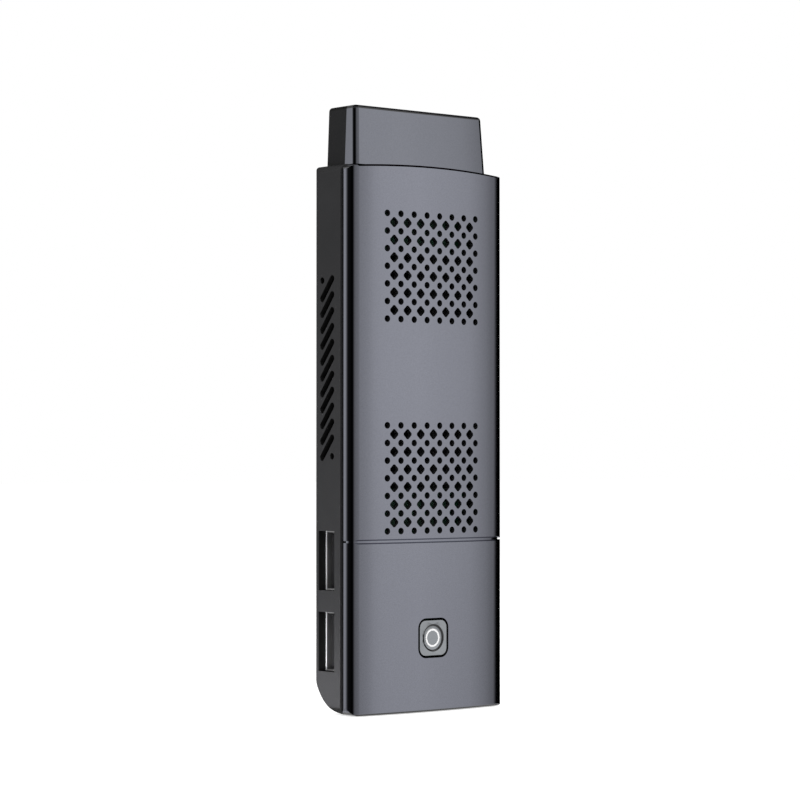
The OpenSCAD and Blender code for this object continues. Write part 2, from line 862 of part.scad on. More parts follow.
// Outline of the plug in x and depth, narrower towards the back
module plug_outline(inset) {
    w = plug_w / 2 - inset;
    front = plug_d - plug_h / 2 + inset;
    back = plug_d + plug_h / 2 - inset;
    step = plug_d + plug_step;
    narrow = w - plug_narrow;
    polygon([[-w, front], [w, front], [w, step], [narrow, back], [-narrow, back], [-w, step]]);
}

module hdmi_plug_shell() {
    color("#c9c9c4") difference() {
        translate([0, 0, plug_low])
            linear_extrude(plug_high - plug_low) plug_outline(0);
        translate([0, 0, plug_low - over])
            linear_extrude(plug_high - plug_low + 2 * over) plug_outline(sheet);
        for (s = [-1, 1], d = [plug_d - plug_h / 2, plug_d + plug_h / 2])
            span([s * plug_window_x - plug_window_w / 2, s * plug_window_x + plug_window_w / 2],
                 [d - over, d + over], plug_window_z);
    }
}

module hdmi_plug_insulator() {
    color("#1d1d1f") difference() {
        translate([0, 0, plug_low]) linear_extrude(plug_high - 0.5 - plug_low) plug_outline(sheet);
        span([-plug_cavity_w / 2, plug_cavity_w / 2],
             [plug_d - plug_cavity_h / 2, plug_d + plug_cavity_h / 2],
             [plug_high - plug_cavity_l, plug_high]);
    }
}

// Row of plug contacts on one wall of the cavity, and their tails on the board
module plug_pins(count, d, tail) {
    for (i = [0 : count - 1]) {
        x = (i - (count - 1) / 2) * pin_pitch;
        span([x - pin_w / 2, x + pin_w / 2], d, [plug_high - plug_cavity_l, plug_high - 1.2]);
        if (tail)
            span([x - pin_w / 2, x + pin_w / 2], [board_back, board_back + pin_t],
                 [plug_low - pin_tail, plug_low]);
    }
}

module hdmi_plug_contacts() {
    front = plug_d - plug_cavity_h / 2;
    back = plug_d + plug_cavity_h / 2;
    color("#d8b45a") {
        plug_pins(10, [front, front + pin_t], true);
        plug_pins(9, [back - pin_t, back], false);
    }
}

module main_board() {
    color("#1f4d33") front_plate([board_d, board_back]) difference() {
        translate([0, (board_high + board_low) / 2]) round_rect(2 * board_half, board_high - board_low, 1);
        translate([-plug_w / 2 - board_notch, plug_low - fit / 2])
            square([plug_w + 2 * board_notch, plug_in]);
        for (p = screw_points) translate(p) circle(r = screw_dia / 2 + 3 * fit);
        for (p = board_screw_points) translate(p) circle(r = board_screw_dia / 2 + fit);
        for (p = sink_posts) translate(p) circle(r = sink_screw_dia / 2 + fit);
    }
}

// Screw along the depth, its head at the front
module front_screw(at, shank_r, head_r, seat, head_h, tip) {
    translate([0, 2 * seat, 0]) mirror([0, 1, 0]) screw(at, shank_r, head_r, seat, head_h, 2 * seat - tip);
}

module board_screws() {
    color("#9a9ca0")
        for (p = board_screw_points)
            front_screw(p, board_screw_dia / 2 - thread_play, board_head_r, board_d, board_head_t,
                        board_back + board_screw_grip);
}

// Places what stands on the front or the back of the board, drawn from that face outwards
module on_front() {
    translate([0, board_d, 0]) mirror([0, 1, 0]) children();
}

module on_back() {
    translate([0, board_back, 0]) children();
}

// Block on a face of the board, its size as width, height and thickness
module block(at, size) {
    span([at[0] - size[0] / 2, at[0] + size[0] / 2], [0, size[2]],
         [at[1] - size[1] / 2, at[1] + size[1] / 2]);
}

// Moulded package: a base sheet, the moulding set in from it and the dot at its first pin
module package(at, size) {
    difference() {
        union() {
            block(at, [size[0], size[1], size[2] * base_share]);
            block(at, [size[0] - 2 * mould_in, size[1] - 2 * mould_in, size[2]]);
        }
        bar_d([at[0] - size[0] / 2 + dot_in, at[1] + size[1] / 2 - dot_in], dot_r,
              [size[2] - dot_depth, size[2] + over]);
    }
}

// Moulded package with a row of bent legs on two sides
module legged_package(at, size, legs) {
    block(at, size);
    for (s = [-1, 1], i = [0 : legs - 1]) {
        z = at[1] + (i - (legs - 1) / 2) * leg_pitch;
        x = at[0] + s * size[0] / 2;
        reach = [[-leg_t, leg_out / 2], [leg_out / 2 - leg_t, leg_out / 2], [leg_out / 2 - leg_t, leg_out]];
        rise = [[size[2] / 2 - leg_t, size[2] / 2], [0, size[2] / 2], [0, leg_t]];
        for (k = [0 : 2])
            span([min(x + s * reach[k][0], x + s * reach[k][1]), max(x + s * reach[k][0], x + s * reach[k][1])],
                 rise[k], [z - leg_w / 2, z + leg_w / 2]);
    }
}

// Flat package with a row of pads on its four sides
module padded_package(at, size, pads) {
    package(at, size);
    for (i = [0 : pads - 1]) {
        step = (i - (pads - 1) / 2) * size[0] / (pads + 1);
        block([at[0], at[1] + step], [size[0] + 2 * pad_out, pad_w, pad_h]);
        block([at[0] + step, at[1]], [pad_w, size[1] + 2 * pad_out, pad_h]);
    }
}

module soc_package() {
    color("#2b4a38") on_front() {
        block([0, soc_z], [soc_w, soc_w, soc_base_t]);
        block([0, soc_z], [soc_die[0], soc_die[1], soc_base_t + soc_die_t]);
        for (s = [-1, 1], i = [-1 : 1])
            block([s * (soc_w / 2 - soc_part_in), soc_z + i * soc_part_step], soc_part);
    }
}

module thermal_pad() {
    color("#9fb4c4")
        front_plate([sink_back, sink_back + pad_t])
            translate([0, soc_z]) round_rect(pad[0], pad[1], pad_r);
}

module heat_sink() {
    pitch = (sink_w - fin_t) / (fin_count - 1);
    fin_run = (sink_high - sink_low) / (fin_cuts + 1);
    color("#26272a") difference() {
        union() {
            span([-sink_w / 2, sink_w / 2], [sink_front, sink_back], [sink_low, sink_high]);
            for (i = [0 : fin_count - 1])
                span([i * pitch - sink_w / 2, i * pitch - sink_w / 2 + fin_t], [fin_front, sink_front + eps],
                     [sink_low, sink_high]);
            for (p = sink_posts) bar_d(p, sink_post_r, [sink_back - eps, board_d]);
        }
        for (p = sink_posts) bar_d(p, sink_screw_dia / 2, [sink_back, board_d + over]);
        for (i = [1 : fin_cuts])
            span([-sink_w, sink_w], [-over, sink_front],
                 [sink_low + i * fin_run - fin_cut_w / 2, sink_low + i * fin_run + fin_cut_w / 2]);
    }
}

module heat_sink_screws() {
    color("#9a9ca0")
        for (p = sink_posts)
            screw(p, sink_screw_dia / 2 - thread_play, sink_head_r, board_back, sink_head_t,
                  sink_back + 0.2);
}

module memory_chips() {
    color("#1c1c1e") on_front()
        for (s = [-1, 1], z = memory_z) package([s * memory_x, z], memory_size);
}

module storage_chip() {
    color("#1c1c1e") on_back() package(storage_at, storage_size);
}

module power_chip() {
    color("#1c1c1e") on_back() padded_package(power_at, power_size, power_pads);
}

module power_inductors() {
    color("#4a4a4c")
        for (x = inductor_x, z = inductor_z)
            on_back() {
                bar_d([x, z], inductor_w / 2 - inductor_r, [0, inductor_t]);
                for (d = [[0, inductor_rim], [inductor_t - inductor_rim, inductor_t]])
                    front_plate(d) translate([x, z]) round_rect(inductor_w, inductor_w, inductor_r);
            }
}

// Block with a thicker terminal at each end
module end_capped(at, size) {
    block(at, [size[0], size[1] - 2 * terminal_in, size[2] - terminal_in]);
    for (s = [-1, 1]) block([at[0] + s * (size[0] - terminal_l) / 2, at[1]], [terminal_l, size[1], size[2]]);
}

module capacitors() {
    color("#b08d3c")
        for (i = [0 : capacitor_count - 1])
            on_back() end_capped(capacitor_at + [(i % 2) * capacitor_step[0], i * capacitor_step[1]],
                                 capacitor_size);
}

module firmware_chip() {
    color("#1c1c1e") on_back() legged_package(firmware_at, firmware_size, firmware_legs);
}

module wifi_module() {
    color("#24543a") on_front() difference() {
        block(wifi_at, wifi_size);
        for (s = [-1, 1], i = [0 : wifi_pads - 1])
            bar_d([wifi_at[0] + s * wifi_size[0] / 2, wifi_at[1] + (i - (wifi_pads - 1) / 2) * wifi_pad_pitch],
                  wifi_pad_r, [-over, wifi_size[2] + over]);
    }
}

// Box of the shield, smaller by inset on its four sides
module shield_box(inset, d) {
    span([wifi_at[0] - shield_half + inset, wifi_at[0] + shield_half - inset], d,
         [wifi_at[1] - shield_low + inset, wifi_at[1] + shield_half - inset]);
}

module wifi_shield() {
    color("#c2c3c0") difference() {
        shield_box(0, [wifi_face - shield_t, wifi_face]);
        shield_box(shield_sheet, [wifi_face - shield_t + shield_sheet, wifi_face + over]);
        for (x = [-1 : 1], z = [-1, 1])
            bar_d(shield_mid + [x * shield_step, z * shield_step / 2], shield_hole_r,
                  [wifi_face - shield_t - over, wifi_face - shield_t + 2 * shield_sheet]);
    }
}

// Thin aerial held on the inside of the lower cover
module antenna() {
    low = antenna_z - antenna_h / 2;
    high = antenna_z + antenna_h / 2;
    color("#b87333") difference() {
        translate([0, 0, low])
            linear_extrude(antenna_h)
                intersection() {
                    difference() {
                        translate([0, crown_r])
                            circle(r = crown_r - antenna_seat, $fn = crown_steps);
                        translate([0, crown_r])
                            circle(r = crown_r - antenna_seat - antenna_t, $fn = crown_steps);
                    }
                    translate([-antenna_w / 2, 0]) square([antenna_w, rim_d]);
                }
        for (i = [0 : antenna_slots - 1]) {
            x = (i - (antenna_slots - 1) / 2) * antenna_pitch;
            span([x - antenna_slot_w / 2, x + antenna_slot_w / 2], [0, rim_d],
                 i % 2 == 0 ? [low + antenna_strip, high + over] : [low - over, high - antenna_strip]);
        }
    }
}

// Coaxial lead from the module's connector to the aerial, with a ball at each of its two elbows
module antenna_lead() {
    bend_z = lead_low + lead_drop;
    color("#2a2a2c") {
        bar_d([lead_x, lead_start[1]], 2 * lead_r, [lead_start[0], wifi_face]);
        translate([lead_x, lead_start[0], bend_z]) {
            cylinder(r = lead_r, h = lead_start[1] - bend_z);
            sphere(r = lead_r + eps);
            rotate([135, 0, 0]) cylinder(r = lead_r, h = lead_drop * sqrt(2));
        }
        translate([lead_x, lead_end_d, lead_low]) sphere(r = lead_r + eps);
        translate([lead_x, lead_end_d, antenna_z]) cylinder(r = lead_r, h = lead_low - antenna_z);
    }
}

// Sheet-metal box of a USB-A socket with its spring fingers
module usb_shell(z) {
    finger_slot = finger_w / 2 + finger_play;
    difference() {
        span([-rim_x, usb_l - rim_x], [board_back, usb_back], [z - usb_w / 2, z + usb_w / 2]);
        span([-rim_x - over, usb_deep], [board_back + sheet, usb_back - sheet],
             [z - usb_w / 2 + sheet, z + usb_w / 2 - sheet]);
        for (s = [-1, 1])
            span(finger_x, [board_back - over, usb_back + over],
                 [z + s * finger_z - finger_slot, z + s * finger_z + finger_slot]);
    }
    for (s = [-1, 1]) {
        usb_finger([finger_x[1], usb_back - sheet, z + s * finger_z], 1);
        usb_finger([finger_x[1], board_back + sheet, z + s * finger_z], -1);
    }
}

// Spring finger rooted at its deep end and bent into the socket from the back or the front wall
module usb_finger(root, side) {
    reach = finger_x[1] - finger_x[0] - finger_play;
    translate(root)
        rotate([0, 0, side * finger_bend])
            span([-reach, finger_play], side > 0 ? finger_t : [-finger_t[1], -finger_t[0]],
                 [-finger_w / 2, finger_w / 2]);
}

// Insulator of a USB-A socket: rear block and tongue
module usb_tongue(z) {
    span([usb_deep - usb_block, usb_deep], [board_back + sheet, usb_back - sheet],
         [z - usb_w / 2 + sheet, z + usb_w / 2 - sheet]);
    span([usb_tip - rim_x, usb_deep - usb_block + eps], [usb_tongue_front, usb_tongue_front + usb_tongue_t],
         [z - usb_tongue_w / 2, z + usb_tongue_w / 2]);
}

// Contacts on the tongue's front face, with the extra row of pads of the fast port
module usb_contacts(z, fast) {
    start_x = usb_tip + (fast ? 2.6 : 0.6) - rim_x;
    for (p = usb_pins)
        span([start_x, usb_deep - usb_block], [usb_tongue_front - usb_pin_t, usb_tongue_front],
             [z + p - usb_pin_w / 2, z + p + usb_pin_w / 2]);
    if (fast) for (p = usb_pads)
        span(usb_pad_x, [usb_tongue_front - usb_pad_t, usb_tongue_front],
             [z + p - usb_pad_w / 2, z + p + usb_pad_w / 2]);
}

module usb_upper_shell() { color("#b9bbbd") usb_shell(usb_upper_z); }
module usb_lower_shell() { color("#b9bbbd") usb_shell(usb_lower_z); }
module usb_upper_tongue() { color("#141416") usb_tongue(usb_upper_z); }
module usb_lower_tongue() { color("#141416") usb_tongue(usb_lower_z); }
module usb_upper_contacts() { color("#d8b45a") usb_contacts(usb_upper_z, true); }
module usb_lower_contacts() { color("#d8b45a") usb_contacts(usb_lower_z, false); }

// Outline of the micro-USB power inlet in depth and height
module inlet_outline(inset) {
    w = inlet_w / 2 - inset;
    h = inlet_h / 2 - inset;
    polygon([[-h, -w], [0.2, -w], [h, 1 - w], [h, w - 1], [0.2, w], [-h, w]]);
}

module micro_usb_shell() {
    color("#b9bbbd") difference() {
        side_plate([rim_x - inlet_l, rim_x]) translate([inlet_d, inlet_z]) inlet_outline(0);
        side_plate([inlet_deep, rim_x + over]) translate([inlet_d, inlet_z]) inlet_outline(sheet);
        for (s = [-1, 1])
            span([rim_x - inlet_l * 0.6, rim_x - inlet_l * 0.3], [inlet_d, inlet_d + inlet_h],
                 [inlet_z + s * inlet_window_z - inlet_window_w / 2,
                  inlet_z + s * inlet_window_z + inlet_window_w / 2]);
    }
}

module micro_usb_tongue() {
    color("#141416") {
        side_plate([inlet_deep, inlet_deep + inlet_block])
            translate([inlet_d, inlet_z]) inlet_outline(sheet);
        span([inlet_deep + inlet_block - eps, rim_x - 0.6], inlet_tongue_d,
             [inlet_z - inlet_tongue_w / 2, inlet_z + inlet_tongue_w / 2]);
    }
}

module micro_usb_contacts() {
    color("#d8b45a") for (i = [-2 : 2]) {
        z = inlet_z + i * inlet_pin_pitch;
        span([inlet_deep + inlet_block, rim_x - 1], [inlet_tongue_d[1], inlet_tongue_d[1] + inlet_pin_t],
             [z - inlet_pin_w / 2, z + inlet_pin_w / 2]);
    }
}

module card_socket_base() {
    color("#17171a") {
        span([card_x, rim_x - 0.4], [board_back, board_back + card_base_t], card_inner);
        span([card_x, card_x + card_stop],
             [board_back + card_base_t - eps, board_back + card_t - card_lid_t], card_inner);
    }
}

module card_socket_lid() {
    color("#c2c3c0") difference() {
        span([card_x, rim_x], [board_back, board_back + card_t], [card_z - card_w / 2, card_z + card_w / 2]);
        span([card_x - over, rim_x + over], [board_back - over, board_back + card_t - card_lid_t],
             card_inner);
        for (s = [-1, 1])
            span([card_x + card_l / 3, card_x + card_l * 2 / 3],
                 [board_back + card_t - 2 * card_lid_t, board_back + card_t + over],
                 [card_z + s * card_spring_z - card_spring_w / 2, card_z + s * card_spring_z + card_spring_w / 2]);
    }
}

module card_socket_contacts() {
    first = card_z - (card_pins - 1) * card_pin_pitch / 2;
    color("#d8b45a") for (i = [0 : card_pins - 1])
        span([card_x + 3, card_x + 8], [board_back + card_base_t, board_back + card_base_t + card_pin_t],
             [first + i * card_pin_pitch - card_pin_w / 2, first + i * card_pin_pitch + card_pin_w / 2]);
}

module audio_jack_body() {
    color("#17171a") difference() {
        union() {
            span([rim_x - jack_l, rim_x], [board_back, board_back + jack_h],
                 [jack_z - jack_w / 2, jack_z + jack_w / 2]);
            bar_x([jack_d, jack_z], jack_nose_r, [rim_x - eps, jack_mouth]);
        }
        bar_x([jack_d, jack_z], jack_bore_r, [rim_x - jack_l + jack_end_t, jack_mouth + over]);
    }
}

module audio_jack_terminals() {
    color("#d8b45a") for (x = terminal_x, s = [-1, 1]) {
        z = jack_z + s * (jack_w + terminal_t) / 2;
        span([rim_x - x - terminal_w, rim_x - x], [board_back, board_back + terminal_h],
             [z - terminal_t / 2, z + terminal_t / 2]);
    }
}

part_frame() rear_housing();
part_frame() grille_cover();
part_frame() lower_cover();
part_frame() case_screws();
part_frame() power_button();
part_frame() button_light_ring();
part_frame() tact_switch_body();
part_frame() tact_switch_plunger();
part_frame() power_led();
part_frame() cap_front_shell();
part_frame() cap_rear_shell();
part_frame() hdmi_plug_shell();
part_frame() hdmi_plug_insulator();
part_frame() hdmi_plug_contacts();
part_frame() main_board();
part_frame() board_screws();
part_frame() soc_package();
part_frame() thermal_pad();
part_frame() heat_sink();
part_frame() heat_sink_screws();
part_frame() memory_chips();
part_frame() storage_chip();
part_frame() power_chip();
part_frame() power_inductors();
part_frame() capacitors();
part_frame() firmware_chip();
part_frame() wifi_module();
part_frame() wifi_shield();
part_frame() antenna();
part_frame() antenna_lead();
part_frame() usb_upper_shell();
part_frame() usb_upper_tongue();
part_frame() usb_upper_contacts();
part_frame() usb_lower_shell();
part_frame() usb_lower_tongue();
part_frame() usb_lower_contacts();
part_frame() micro_usb_shell();
part_frame() micro_usb_tongue();
part_frame() micro_usb_contacts();
part_frame() card_socket_lid();
part_frame() card_socket_base();
part_frame() card_socket_contacts();
part_frame() audio_jack_body();
part_frame() audio_jack_terminals();
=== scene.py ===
import json
import math

import bpy
import numpy as np
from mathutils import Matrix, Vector


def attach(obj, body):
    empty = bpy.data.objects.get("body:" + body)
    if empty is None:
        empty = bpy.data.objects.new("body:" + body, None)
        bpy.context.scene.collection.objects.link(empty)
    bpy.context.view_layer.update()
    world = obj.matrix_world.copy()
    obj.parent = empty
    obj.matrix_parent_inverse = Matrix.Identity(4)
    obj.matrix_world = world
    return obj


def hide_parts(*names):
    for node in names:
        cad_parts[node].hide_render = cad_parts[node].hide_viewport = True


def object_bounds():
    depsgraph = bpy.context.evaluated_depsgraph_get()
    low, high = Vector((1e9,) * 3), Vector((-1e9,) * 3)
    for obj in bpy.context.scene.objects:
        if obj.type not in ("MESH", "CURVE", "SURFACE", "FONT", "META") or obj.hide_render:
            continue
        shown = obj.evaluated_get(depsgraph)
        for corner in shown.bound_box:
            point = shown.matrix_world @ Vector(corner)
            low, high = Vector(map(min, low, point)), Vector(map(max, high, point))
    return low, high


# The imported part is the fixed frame; everything here is in metres in its axes.
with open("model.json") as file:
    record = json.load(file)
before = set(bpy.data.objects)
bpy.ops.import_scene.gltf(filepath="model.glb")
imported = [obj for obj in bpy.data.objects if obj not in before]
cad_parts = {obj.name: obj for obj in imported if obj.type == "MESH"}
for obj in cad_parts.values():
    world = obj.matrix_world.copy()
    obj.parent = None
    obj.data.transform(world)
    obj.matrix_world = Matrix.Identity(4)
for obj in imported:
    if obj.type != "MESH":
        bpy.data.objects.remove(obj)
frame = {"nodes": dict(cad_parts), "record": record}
cad_low, cad_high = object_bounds()
scene = bpy.context.scene
scene.view_settings.view_transform = "Standard"
floor_z = cad_low.z - 0.0002

# Shoulder line of the upper cover: rise of its middle, fall with the square of the distance across,
# foot of the end that moves, tighter corners, inner lip that stays, and the cap that it keeps clear of
shoulder_rise = 0.00037
shoulder_bow = 1.73
shoulder_foot = -0.00195
shoulder_corner = 0.0206
corner_share = 0.6
lip_half = 0.02135
lip_top = -0.0009
cap_front = -0.0055
cap_clearance = 0.001

# Key: its middle, the growth of its outline and the reach within which nothing moves
key_middle = -0.1054
key_spread = 1.04
key_inner = 0.004


# Pieces fitted to the photograph, which the solids have in a plainer form

def copy_of(node, name):
    """A new object with a copy of a node's mesh."""
    piece = bpy.data.objects.new(name, frame["nodes"][node].data.copy())
    scene.collection.objects.link(piece)
    return piece


def arched_cover():
    """A copy of the upper cover whose outer top end follows the arch, clear of the cap; its inside stays."""
    piece = copy_of("grille_cover", "arched_grille_cover")
    for vertex in piece.data.vertices:
        x, y, z = vertex.co
        inside = abs(x) < lip_half and z < lip_top
        if z < shoulder_foot or inside:
            continue
        lift = shoulder_rise - shoulder_bow * x * x
        if lift > 0:
            lift *= min(1.0, max(0.0, (cap_front - y) / cap_clearance))
        if abs(x) > shoulder_corner:
            z *= corner_share
        vertex.co.z = z + lift
    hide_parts("grille_cover")
    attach(piece, "case")
    return piece


def wider_key():
    """A copy of the key whose outline is 7.8 mm wide, as in the photograph, where the solids have 7.5 mm."""
    piece = copy_of("power_button", "wider_power_button")
    for vertex in piece.data.vertices:
        across, along = vertex.co.x, vertex.co.z - key_middle
        if math.hypot(across, along) > key_inner and abs(across) < key_inner:
            vertex.co.x = across * key_spread
            vertex.co.z = key_middle + along * key_spread
    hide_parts("power_button")
    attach(piece, "button")
    return piece


shown = dict(frame["nodes"])
shown["grille_cover"] = arched_cover()
shown["power_button"] = wider_key()


# Shading of the meshes: round faces shade as round, and sharp edges stay sharp

round_fronts = [
    # middle across, middle in depth and radius of the crown and of its two long edges
    (0.0, 0.157, 0.166),
    (-0.0201, -0.00536, 0.0024),
    (0.0201, -0.00536, 0.0024),
]
# Cosine of the turn up to which faces shade as one, microns in a metre, to which points are matched,
# and the least length that a row is divided by
smooth_limit = 0.85
microns = 1e6
tiny = 1e-12
# How near a point lies to a round front, and how well its face points outwards there
round_slack = 3e-6
round_facing = 0.97
# Bow of the cap's front, as a turn of its normal per metre across, on faces that point straight ahead
cap_bow = 4.87
straight_ahead = -0.99


def read(items, name, width, kind):
    """One attribute of a mesh's points, corners or faces, in rows of the given width."""
    values = np.zeros(len(items) * width, kind)
    items.foreach_get(name, values)
    return values.reshape(-1, width) if width > 1 else values


def lengths(rows):
    """The length of each row, as a column."""
    return np.linalg.norm(rows, axis=1, keepdims=True)


def soft_normals(mesh):
    """Each corner's normal from the faces at its point that lie within about 30 degrees of its own face."""
    corner_point = read(mesh.loops, "vertex_index", 1, np.int32)
    spots = read(mesh.vertices, "co", 3, np.float32)
    flat = read(mesh.polygons, "normal", 3, np.float32)
    area = read(mesh.polygons, "area", 1, np.float32)
    size = read(mesh.polygons, "loop_total", 1, np.int32)
    corner_face = np.repeat(np.arange(len(size)), size)
    places = np.round(spots * microns).astype(np.int64)
    same = np.unique(places, axis=0, return_inverse=True)[1].reshape(-1)[corner_point]
    order = np.argsort(same, kind="stable")
    starts = np.flatnonzero(np.r_[True, np.diff(same[order]) > 0, True])
    normals = flat[corner_face].copy()
    for first, last in zip(starts[:-1], starts[1:]):
        group = order[first:last]
        own = flat[corner_face[group]]
        near = own @ own.T > smooth_limit
        total = (near * area[corner_face[group]]) @ own
        normals[group] = total / np.maximum(lengths(total), tiny)
    return normals, spots[corner_point], flat[corner_face]


def shade(piece):
    """Sets the corner normals: exact ones on the crown and its long edges, and a slight bow on the cap."""
    mesh = piece.data
    normals, spots, flat = soft_normals(mesh)
    if piece.name == "cap_front_shell":
        ahead = flat[:, 1] < straight_ahead
        bowed = flat + np.outer(cap_bow * spots[:, 0], (1.0, 0.0, 0.0))
        normals[ahead] = (bowed / lengths(bowed))[ahead]
    for across, depth, radius in round_fronts:
        out = spots[:, :2] - (across, depth)
        reach = lengths(out)
        out = np.c_[out / np.maximum(reach, tiny), np.zeros(len(out))]
        facing = np.einsum("ij,ij->i", out, flat)
        on = (abs(reach[:, 0] - radius) < round_slack) & (facing > round_facing)
        normals[on] = out[on]
    mesh.polygons.foreach_set("use_smooth", np.ones(len(mesh.polygons), bool))
    mesh.normals_split_custom_set(normals.tolist())
    mesh.update()


for part in shown.values():
    shade(part)


# Node helpers: the owner of the nodes is a material or the world

# Places of the colour sockets on a Mix node, after those of its other kinds
mix_first, mix_second, mix_result = 6, 7, 2


def add(owner, kind, **values):
    """A node whose named inputs or properties are set."""
    node = owner.node_tree.nodes.new(kind)
    for key, value in values.items():
        if key in node.inputs:
            node.inputs[key].default_value = value
        else:
            setattr(node, key, value)
    return node


def link(owner, source, target):
    owner.node_tree.links.new(source, target)


def shader_of(material):
    return material.node_tree.nodes["Principled BSDF"]


def into(material, source, socket):
    """Links a source to one of the shader's sockets."""
    link(material, source, shader_of(material).inputs[socket])


def object_place(material):
    """Object coordinates in metres."""
    return add(material, "ShaderNodeTexCoord").outputs["Object"]


def axes_of(material, vector):
    """The X, Y and Z of a vector."""
    node = add(material, "ShaderNodeSeparateXYZ")
    link(material, vector, node.inputs["Vector"])
    return node.outputs


def place_axes(material):
    """The X, Y and Z of the object coordinates."""
    return axes_of(material, object_place(material))


def face_axes(material):
    """The X, Y and Z of the face's own normal."""
    return axes_of(material, add(material, "ShaderNodeNewGeometry").outputs["True Normal"])


def size_of(material, source):
    """A number without its sign."""
    node = add(material, "ShaderNodeMath", operation="ABSOLUTE")
    link(material, source, node.inputs[0])
    return node.outputs["Value"]


def join(owner, first, second, operation="MULTIPLY"):
    """Two numbers joined by one operation."""
    node = add(owner, "ShaderNodeMath", operation=operation)
    link(owner, first, node.inputs[0])
    link(owner, second, node.inputs[1])
    return node.outputs["Value"]


def distance(material, middle, ways):
    """The distance from a middle, counted along the axes whose way is 1."""
    out = add(material, "ShaderNodeVectorMath", operation="SUBTRACT")
    out.inputs[1].default_value = middle
    link(material, object_place(material), out.inputs[0])
    level = add(material, "ShaderNodeVectorMath", operation="MULTIPLY")
    level.inputs[1].default_value = ways
    link(material, out.outputs["Vector"], level.inputs[0])
    length = add(material, "ShaderNodeVectorMath", operation="LENGTH")
    link(material, level.outputs["Vector"], length.inputs[0])
    return length.outputs["Value"]


def spread(owner, source, low, high, source_low=0.3, source_high=0.7):
    """The source between two values, as a number."""
    node = add(owner, "ShaderNodeMapRange")
    node.inputs["From Min"].default_value = source_low
    node.inputs["From Max"].default_value = source_high
    node.inputs["To Min"].default_value = low
    node.inputs["To Max"].default_value = high
    link(owner, source, node.inputs["Value"])
    return node.outputs["Result"]


def rise(owner, source, start, end):
    """0 up to the start and 1 from the end."""
    return spread(owner, source, 0.0, 1.0, start, end)


def fall(owner, source, start, end):
    """1 up to the start and 0 from the end."""
    return spread(owner, source, 1.0, 0.0, start, end)


def mixed(material, share, first, second):
    """A mix of two colours, each given as a socket or as three numbers."""
    node = add(material, "ShaderNodeMix", data_type="RGBA")
    link(material, share, node.inputs[0])
    for index, colour in ((mix_first, first), (mix_second, second)):
        if isinstance(colour, bpy.types.NodeSocket):
            link(material, colour, node.inputs[index])
        else:
            node.inputs[index].default_value = (*colour, 1.0)
    return node.outputs[mix_result]


def noise(material, scale, detail):
    """Noise between 0 and 1 whose grain is about one over scale metres."""
    node = add(material, "ShaderNodeTexNoise", Scale=scale, Detail=detail, Roughness=0.6)
    link(material, object_place(material), node.inputs["Vector"])
    return node.outputs["Fac"]


def bump(material, source, strength, depth):
    """Relief in the shader's normal."""
    node = add(material, "ShaderNodeBump", Strength=strength, Distance=depth)
    link(material, source, node.inputs["Height"])
    into(material, node.outputs["Normal"], "Normal")


def shades(colour, share):
    """A darker and a lighter form of a colour."""
    return [c * (1 - share) for c in colour], [c * (1 + share) for c in colour]


# Masks by place and by the face's own normal: where the lacquer ends, painted shade, painted dark
# reflections, a painted highlight and the ring's grey edge

# Spans of the place, in metres, within which the masks of lacquer, painted shade, the painted highlight and
# the ring's grey edge change
edge_span = (0.0188, 0.0189)
low_span = (cad_low.z + 0.00035, cad_low.z + 0.0004)
cap_span = (cad_high.z - 0.0008, cad_high.z - 0.00075)
key_span = (-0.0083, -0.0082)
ring_span = (0.00197, 0.00203)
mouth_span = (0.0202, 0.02034)
rim_span = (0.00374, 0.00378)

# Slots and mouths of the side walls: half the width they lie within, and their ends in depth and height
wall_half = 0.0223
slots_front, slots_back = -0.0034, 0.0052
mouths_low, mouths_high = -0.1135, -0.001
wall_step = 0.0001

# Spans of one part of the normal within which painted shade begins, on the lacquer and under the heel
ahead_span = (-0.5, -0.4)
level_span = (0.5, 0.6)
under_span = (-0.3, -0.03)
dish_span = (-0.97, -0.94)


def outside(material):
    """1 on the crowned front and its long edges, 0 on the ends, the lowest rim, hole walls and insides,
    which get near-black painted shade and painted dark reflections in place of lacquer.
    """
    spot = place_axes(material)
    way = face_axes(material)
    ahead = fall(material, way["Y"], *ahead_span)
    edge = rise(material, size_of(material, spot["X"]), *edge_span)
    upright = fall(material, size_of(material, way["Z"]), *level_span)
    front = join(material, ahead, join(material, edge, upright), "MAXIMUM")
    return join(material, front, rise(material, spot["Z"], *low_span))


def under_top(material):
    """1 on the cap below its top rim and 0 on that rim, which is painted near black as a painted dark
    reflection.
    """
    return fall(material, place_axes(material)["Z"], *cap_span)


def near_mouth(material):
    """1 on the rims of the side ports and 0 deeper inside them, where the metal gets near-black painted
    shade.
    """
    return rise(material, size_of(material, place_axes(material)["X"]), *mouth_span)


def back_rim(material):
    """1 on the edge of the ports' rims that lies to the back and faces the light, where the bright colour
    stays as a painted highlight, and 0 on their other edges, which get grey painted shade.
    """
    return rise(material, place_axes(material)["Y"], *rim_span)


def clear_of_painted_shade(material):
    """0 within the slots and mouths of the side walls and where the heel turns under, which get near-black
    painted shade, and 1 on other faces.
    """
    spot = place_axes(material)
    sunk = fall(material, size_of(material, spot["X"]), wall_half - wall_step, wall_half)
    for source, low, high in ((spot["Y"], slots_front, slots_back), (spot["Z"], mouths_low, mouths_high)):
        sunk = join(material, sunk, rise(material, source, low - wall_step, low))
        sunk = join(material, sunk, fall(material, source, high - wall_step, high))
    upward = rise(material, face_axes(material)["Z"], *under_span)
    return join(material, fall(material, sunk, 0.0, 1.0), upward)


def key_top(material):
    """1 on the key's face and its dish's floor, 0 on the dish's wall, the key's sides and its tabs, which
    get near-black painted shade in place of lacquer.
    """
    high = fall(material, place_axes(material)["Y"], *key_span)
    return join(material, high, fall(material, face_axes(material)["Y"], *dish_span))


